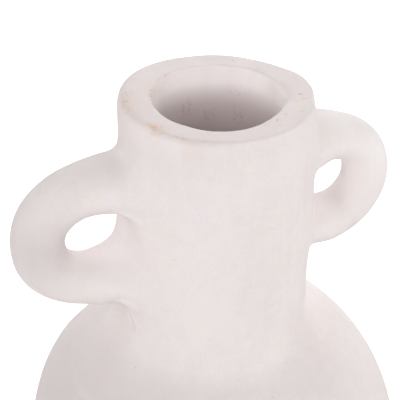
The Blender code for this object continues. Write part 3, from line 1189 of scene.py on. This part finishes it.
@dataclass
class Vase:
    """The whole vase: its shape, its finish and its place in the frame."""

    sizes: VaseSizes
    handles: Sequence[EarHandle] = (
        EarHandle(Side.LEFT, 0.0332, (0.0385, 0.0311), (0.0586, 0.0402), (0.0750, 0.0316), 0.0849),
        EarHandle(Side.RIGHT, 0.0363, (0.0329, 0.0133), (0.0517, 0.0359), (0.0775, 0.0257), 0.0786),
    )
    hand: HandWork = HandWork(
        presses=(
            # Rim
            HandPress((0.0377, -0.0184, -0.0020), 0.0118, -0.0027),
            HandPress((0.0302, -0.0292, -0.0020), 0.0140, -0.0012),
            HandPress((0.0210, -0.0364, -0.0020), 0.0130, -0.0008),
            HandPress((0.0415, 0.0030, 0.0020), 0.0110, 0.0008),
            HandPress((-0.026, 0.033, 0.002), 0.038, 0.0026),
            HandPress((0.007, 0.042, 0.002), 0.028, -0.0007),
            HandPress((0.033, 0.026, 0.002), 0.024, -0.0015),
            # Shoulder, belly and neck
            HandPress((-0.040, 0.064, 0.148), 0.028, -0.0022),
            HandPress((-0.088, 0.036, 0.192), 0.034, -0.0012),
            HandPress((0.040, -0.023, 0.096), 0.040, -0.0019),
            HandPress((-0.043, 0.018, 0.067), 0.024, 0.0011),
            # Left handle
            HandPress((-0.0738, -0.0035, 0.0625), 0.0065, 0.0012),
            HandPress((-0.0450, -0.0090, 0.0470), 0.0120, 0.0010),
            HandPress((-0.0545, -0.0150, 0.0885), 0.0090, -0.0016),
            # Crest of the smeared clay
            HandPress((-0.0487, -0.0108, 0.0985), 0.0028, 0.0006),
            HandPress((-0.0481, -0.0128, 0.1003), 0.0028, 0.0006),
            HandPress((-0.0476, -0.0146, 0.1021), 0.0028, 0.0006),
            HandPress((-0.0472, -0.0164, 0.1037), 0.0026, 0.0006),
            HandPress((-0.0469, -0.0182, 0.1056), 0.0020, -0.0007),
            # Groove under the crest
            HandPress((-0.0491, -0.0086, 0.1000), 0.0032, -0.0006),
            HandPress((-0.0486, -0.0106, 0.1018), 0.0032, -0.0006),
            HandPress((-0.0482, -0.0124, 0.1036), 0.0032, -0.0006),
            HandPress((-0.0480, -0.0142, 0.1054), 0.0030, -0.0006),
        ),
        mouth_lobes=(
            Lobe(-55.0, 32.0, 0.0012),
            Lobe(-14.0, 38.0, 0.0005),
            Lobe(-112.0, 28.0, -0.0008),
            Lobe(118.0, 26.0, -0.0009),
            Lobe(170.0, 35.0, 0.0006),
        ),
        rim_crowns=(
            Lobe(-95.0, 95.0, 0.0006),
            Lobe(-86.0, 34.0, 0.0009),
            Lobe(-152.0, 22.0, 0.0010),
        ),
        foot_lobes=(
            Lobe(-38.0, 45.0, -0.0043),
        ),
    )
    marks: Sequence[MarkPatch] = (
        *mark_patches(
            Mark.WEAR,
            (-155.0, 0.0400, 0.0005, 0.0028, 1.0),
            (-151.0, 0.0393, 0.0005, 0.0026, 0.8),
            (-160.0, 0.0405, 0.0005, 0.0028, 0.5),
            (-155.0, 0.0425, 0.0020, 0.0026, 0.5),
            (-146.0, 0.0390, 0.0008, 0.0022, 0.5),
            (-137.0, 0.0402, 0.0010, 0.0022, 0.45),
            (157.0, 0.0393, 0.0, 0.0035, 0.6),
            (167.0, 0.0408, 0.0, 0.0035, 0.8),
            (177.0, 0.0415, 0.0, 0.0035, 0.7),
            (-172.0, 0.0425, 0.0010, 0.0030, 0.45),
            (138.0, 0.0402, 0.0, 0.0030, 0.55),
            (117.0, 0.0375, 0.0, 0.0025, 0.4),
            (130.0, 0.0295, 0.0, 0.0020, 0.7),
            (144.0, 0.0292, 0.0, 0.0019, 0.7),
            (153.0, 0.0292, 0.0, 0.0015, 0.9),
            (161.0, 0.0292, 0.0, 0.0014, 1.1),
            (168.0, 0.0293, 0.0, 0.0014, 1.1),
            (176.0, 0.0294, 0.0, 0.0014, 0.9),
            (120.0, 0.0288, 0.0, 0.0025, 0.6),
            (-162.0, 0.0322, 0.0, 0.0022, 0.5),
            (-144.0, 0.0328, 0.0, 0.0018, 0.5),
            (-25.4, 0.0358, 0.0002, 0.0013, 1.2),
            (-32.1, 0.0331, 0.0005, 0.0010, 0.9),
            (-36.9, 0.0340, 0.0004, 0.0010, 0.9),
            (-31.5, 0.0373, 0.0002, 0.0011, 1.0),
            (-34.5, 0.0362, 0.0002, 0.0010, 0.9),
            (-43.8, 0.0381, 0.0004, 0.0011, 1.0),
            (-48.7, 0.0389, 0.0004, 0.0011, 1.0),
            (-58.3, 0.0334, 0.0005, 0.0011, 1.1),
            (-59.7, 0.0373, 0.0005, 0.0009, 0.8),
            (-69.2, 0.0340, 0.0006, 0.0011, 1.1),
            (-73.4, 0.0375, 0.0007, 0.0009, 0.8),
            (-81.2, 0.0344, 0.0007, 0.0010, 0.9),
            (53.0, 0.0333, 0.0, 0.0016, 0.8),
            (35.0, 0.0289, 0.0, 0.0014, 0.6),
            (-148.0, 0.0414, 0.0011, 0.0016, 0.7),
            (-140.0, 0.0418, 0.0013, 0.0014, 0.6),
        ),
        # Chips at the mouth's inner left edge, with painted shade just under the edge
        *mark_patches(
            Mark.CHIP,
            (-16.0, 0.0299, 0.0056, 0.0010, 0.5),
            (151.0, 0.0287, 0.0005, 0.0008, 0.8),
            (158.0, 0.0290, 0.0007, 0.0008, 1.0),
            (163.0, 0.0292, 0.0008, 0.0008, 1.0),
            (169.0, 0.0293, 0.0010, 0.0008, 0.8),
        ),
        *mark_patches(
            Mark.STAIN,
            (-128.0, 0.0425, 0.0040, 0.0045, 1.0),
            (-155.0, 0.0405, 0.0010, 0.0055, 1.0),
            (168.0, 0.0400, 0.0, 0.0080, 0.8),
            (148.0, 0.0295, 0.0, 0.0050, 0.8),
        ),
        *mark_patches(
            Mark.SMUDGE,
            (98.0, 0.0260, 0.0200, 0.0055, 0.7),
            (77.0, 0.0252, 0.0236, 0.0055, 0.8),
            (41.0, 0.0257, 0.0222, 0.0060, 0.7),
            (44.0, 0.0263, 0.0115, 0.0060, 0.4),
        ),
        # Grey tone with painted shade: the left shoulder in the neck's and handle's shadow, the wedge under
        # the left handle's lower root, the neck's upper left and the right handle's inner bend
        *mark_patches(
            Mark.GREY,
            (-176.0, 0.0910, 0.0540, 0.0200, 1.0),
            (178.0, 0.0700, 0.0300, 0.0200, 0.25),
            (-172.0, 0.0820, 0.1600, 0.0520, 1.0),
            (-178.0, 0.0530, 0.1080, 0.0160, 0.30),
            (-172.0, 0.0640, 0.1280, 0.0260, 0.75),
            (-2.0, 0.0640, 0.0690, 0.0070, 0.60),
            (-165.0, 0.0440, 0.0170, 0.0130, 0.40),
            (-148.0, 0.0440, 0.0150, 0.0140, 0.40),
            (-130.0, 0.0440, 0.0100, 0.0110, 0.30),
        ),
        # Dust tone on the rim, and painted shade on the shoulder round the neck's foot
        *mark_patches(
            Mark.DUST,
            (66.0, 0.0350, 0.0, 0.0120, 0.60),
            (96.0, 0.0350, 0.0, 0.0120, 0.40),
            (25.0, 0.0350, 0.0, 0.0120, 0.35),
            (-15.0, 0.0360, 0.0, 0.0120, 0.20),
            (27.0, 0.0294, 0.0, 0.0030, 0.80),
            (20.0, 0.0290, 0.0, 0.0024, 0.80),
            (-145.0, 0.0660, 0.1340, 0.0400, 0.6),
            (-112.0, 0.0660, 0.1340, 0.0400, 0.6),
            (-85.0, 0.0670, 0.1360, 0.0340, 0.45),
        ),
        # Painted light: lighter patches over the creases round the left handle's roots and hole, on the right
        # handle and on the bore's back wall under the rim
        *mark_patches(
            Mark.FRESH,
            (-165.0, 0.0465, 0.0580, 0.0160, 0.4),
            (-176.0, 0.0540, 0.0230, 0.0120, 0.5),
            (-175.5, 0.0712, 0.0668, 0.0080, 0.6),
            (-173.0, 0.0520, 0.0715, 0.0140, 0.8),
            (-169.5, 0.0458, 0.0632, 0.0090, 0.7),
            (0.0, 0.0600, 0.0240, 0.0180, 0.8),
            (0.0, 0.0800, 0.0420, 0.0240, 0.85),
            (-163.0, 0.0512, 0.0424, 0.0055, 0.9),
            (-160.0, 0.0495, 0.0450, 0.0045, 0.6),
            (-163.5, 0.0540, 0.0884, 0.0050, 0.9),
            (66.0, 0.0290, 0.0070, 0.0140, 1.0),
            (45.0, 0.0295, 0.0070, 0.0130, 0.95),
            (84.0, 0.0290, 0.0070, 0.0130, 0.95),
            (100.0, 0.0290, 0.0070, 0.0120, 0.8),
            (25.0, 0.0300, 0.0070, 0.0120, 0.8),
            (-20.0, 0.0300, 0.0070, 0.0110, 0.6),
            (180.0, 0.0455, 0.0560, 0.0150, 0.8),
        ),
    )
    lip_lines: Sequence[LipLine] = (
        # Painted shade: dark lines in the crease under the lip's front outer edge and in the band below it
        LipLine(Mark.CHIP, -150.0, -92.0, 0.0413, 0.0426, 0.0012, 0.0009, 0.16),
        LipLine(Mark.CHIP, -154.0, -104.0, 0.0422, 0.0431, 0.0021, 0.0011, 0.30),
        LipLine(Mark.WEAR, -138.0, -116.0, 0.0416, 0.0421, 0.0013, 0.0009, 0.60),
        LipLine(Mark.WEAR, 10.0, -10.0, 0.0285, 0.0297, 0.0005, 0.0007, 0.50),
    )

    def build(self, nodes: Sequence[str]) -> bpy.types.Object:
        """Makes the skin, coats it and puts it in the place of the frame's clay pieces.

        Args:
            nodes: names of the frame's pieces that it stands for.

        Returns:
            The dressed skin.
        """
        coat = LimewashCoat(Limewash()).build()
        skin = FiredSkin(self.sizes, self.handles, self.hand).build(coat)
        lines = [patch for line in self.lip_lines for patch in line.marks()]
        SkinMarks(self.sizes, (*self.marks, *lines)).paint(skin.data)
        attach(skin, BODY)
        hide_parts(*nodes)
        return skin


# The studio

@dataclass(frozen=True)
class PhotoView:
    """The photograph's viewpoint, found by matching the vase's outline in its square frame."""

    pitch_deg: float = 33.21
    azimuth_deg: float = -24.33
    roll_deg: float = 0.57
    focal_pixels: float = 883.16
    frame_pixels: float = 400.0
    sensor_mm: float = 36.0
    rim_distance: float = 0.38243
    rim_pixel: Tuple[float, float] = (218.10, 92.19)

    def matrix(self, rim: Vector) -> Matrix:
        """Where the camera stands.

        Args:
            rim: centre of the vase's rim.

        Returns:
            The camera's world matrix.
        """
        azimuth, pitch, roll = (math.radians(a) for a in (self.azimuth_deg, self.pitch_deg, self.roll_deg))
        level = math.cos(pitch)
        back = Vector((math.sin(azimuth) * level, -math.cos(azimuth) * level, math.sin(pitch)))
        right = Vector((math.cos(azimuth), math.sin(azimuth), 0.0))
        up = back.cross(right)
        turned_right = right * math.cos(roll) + up * math.sin(roll)
        turned_up = up * math.cos(roll) - right * math.sin(roll)
        across, down = ((pixel - self.frame_pixels / 2) / self.focal_pixels for pixel in self.rim_pixel)
        eye = rim - self.rim_distance * (turned_right * across - turned_up * down - back)
        matrix = Matrix((turned_right, turned_up, back)).transposed().to_4x4()
        matrix.translation = eye
        return matrix


@dataclass(frozen=True)
class SoftLamp:
    """A broad square lamp, placed by its turn to the right of the camera and its rise over the vase."""

    name: str
    turn_deg: float
    rise_deg: float
    power: float
    distance: float = 1.8
    size: float = 1.2


class Studio:
    """A white floor under soft light, with the camera at the photograph's viewpoint."""

    FLOOR_SIZE = 3.4
    FLOOR_COLOUR = (0.80, 0.80, 0.80, 1.0)
    FLOOR_GLOW = 0.60
    GLOW_BAND = (0.50, 1.20)
    WHITE = (1.0, 1.0, 1.0, 1.0)
    LAMPS = (
        SoftLamp("front", 0.0, 25.0, 19.0),
        SoftLamp("front_left", -45.0, 25.0, 5.0),
        SoftLamp("left", -85.0, 25.0, 9.0),
        SoftLamp("right", 80.0, 25.0, 11.0),
        SoftLamp("right_back", 120.0, 25.0, 10.5),
        SoftLamp("back", 180.0, 25.0, 19.0),
        SoftLamp("left_back", -120.0, 50.0, 5.0),
    )
    CLIP_START = 0.01
    SEEN_RAYS = ("Is Camera Ray", "Is Glossy Ray", "Is Transmission Ray")

    def __init__(self, sizes: VaseSizes) -> None:
        """Keeps the sizes that the camera and the lamps aim at."""
        self.sizes = sizes

    def build(self) -> None:
        """Makes the camera, the floor and the lights."""
        camera = self._camera(PhotoView())
        self._floor()
        self._world()
        bearing = math.atan2(camera.location.y, camera.location.x)
        for lamp in self.LAMPS:
            self._lamp(lamp, bearing)
        bpy.context.scene.view_settings.view_transform = "Standard"

    def _camera(self, view: PhotoView) -> bpy.types.Object:
        """Puts the camera at the photograph's viewpoint.

        Args:
            view: the viewpoint.

        Returns:
            The camera.
        """
        lens = bpy.data.cameras.new("photo_camera")
        lens.sensor_width = view.sensor_mm
        lens.lens = view.focal_pixels * view.sensor_mm / view.frame_pixels
        lens.clip_start = self.CLIP_START
        camera = put_in_scene("photo_camera", lens)
        camera.matrix_world = view.matrix(Vector((0.0, 0.0, self.sizes.rim_height)))
        bpy.context.scene.camera = camera
        return camera

    def _seen_directly(self, nodes: Nodes) -> Field:
        """One for rays that show a surface to the camera, straight or by reflection or glass."""
        straight, mirrored, through = (
            nodes.result("ShaderNodeLightPath", output=kind) for kind in self.SEEN_RAYS
        )
        return nodes.math("MAXIMUM", nodes.math("MAXIMUM", straight, mirrored), through)

    def _floor(self) -> None:
        """A pale floor that keeps the vase's shadow, and glows to full white away from it."""
        mesh = bpy.data.meshes.new("floor")
        shape = bmesh.new()
        bmesh.ops.create_grid(shape, x_segments=1, y_segments=1, size=self.FLOOR_SIZE / 2)
        shape.to_mesh(mesh)
        shape.free()
        floor = put_in_scene("floor", mesh)
        material, nodes, shader = new_material("white_floor")
        shader.inputs["Base Color"].default_value = self.FLOOR_COLOUR
        shader.inputs["Roughness"].default_value = 1.0
        shader.inputs["Specular IOR Level"].default_value = 0.0
        shader.inputs["Emission Color"].default_value = self.WHITE
        place = nodes.result("ShaderNodeTexCoord", output="Object")
        away = nodes.result("ShaderNodeVectorMath", {"operation": "LENGTH"}, {0: place}, "Value")
        glow = nodes.blend(nodes.ease(away, *self.GLOW_BAND), self.FLOOR_GLOW, 1.0)
        nodes.feed(shader.inputs["Emission Strength"], self._seen_directly(nodes) * glow)
        mesh.materials.append(material)
        floor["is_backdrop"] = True

    def _world(self) -> None:
        """A pure white background, which gives no light of its own."""
        world = bpy.data.worlds.new("white_room")
        world.use_nodes = True
        nodes = Nodes(world.node_tree)
        background = world.node_tree.nodes["Background"]
        background.inputs["Color"].default_value = self.WHITE
        nodes.feed(background.inputs["Strength"], self._seen_directly(nodes))
        bpy.context.scene.world = world

    def _lamp(self, lamp: SoftLamp, camera_bearing: float) -> None:
        """Puts up a soft lamp that is aimed at the middle of the neck.

        Args:
            lamp: the lamp.
            camera_bearing: the camera's bearing round the vase, in radians.
        """
        light = bpy.data.lights.new(lamp.name, "AREA")
        light.size = lamp.size
        light.energy = lamp.power
        bearing = camera_bearing + math.radians(lamp.turn_deg)
        rise = math.radians(lamp.rise_deg)
        level = math.cos(rise)
        towards = Vector((math.cos(bearing) * level, math.sin(bearing) * level, math.sin(rise)))
        middle = Vector((0.0, 0.0, (self.sizes.rim_height + self.sizes.neck_foot_height) / 2))
        stand = put_in_scene(lamp.name, light)
        stand.location = middle + towards * lamp.distance
        stand.rotation_euler = towards.to_track_quat("Z", "Y").to_euler()


def main() -> None:
    """Loads the frame, builds the vase and the studio, and reports each piece."""
    logging.basicConfig(level=logging.INFO, format="%(name)s: %(message)s")
    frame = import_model()
    sizes = VaseSizes.from_frame()
    skin = Vase(sizes).build(sorted(frame["nodes"]))
    skin.data.calc_loop_triangles()
    LOG.info("%s: %d triangles", skin.name, len(skin.data.loop_triangles))
    Studio(sizes).build()
    visual_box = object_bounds()
    corners = [tuple(round(part, LOGGED_DIGITS) for part in corner) for corner in visual_box]
    LOG.info("box %s to %s", *corners)


if __name__ == "__main__":
    main()
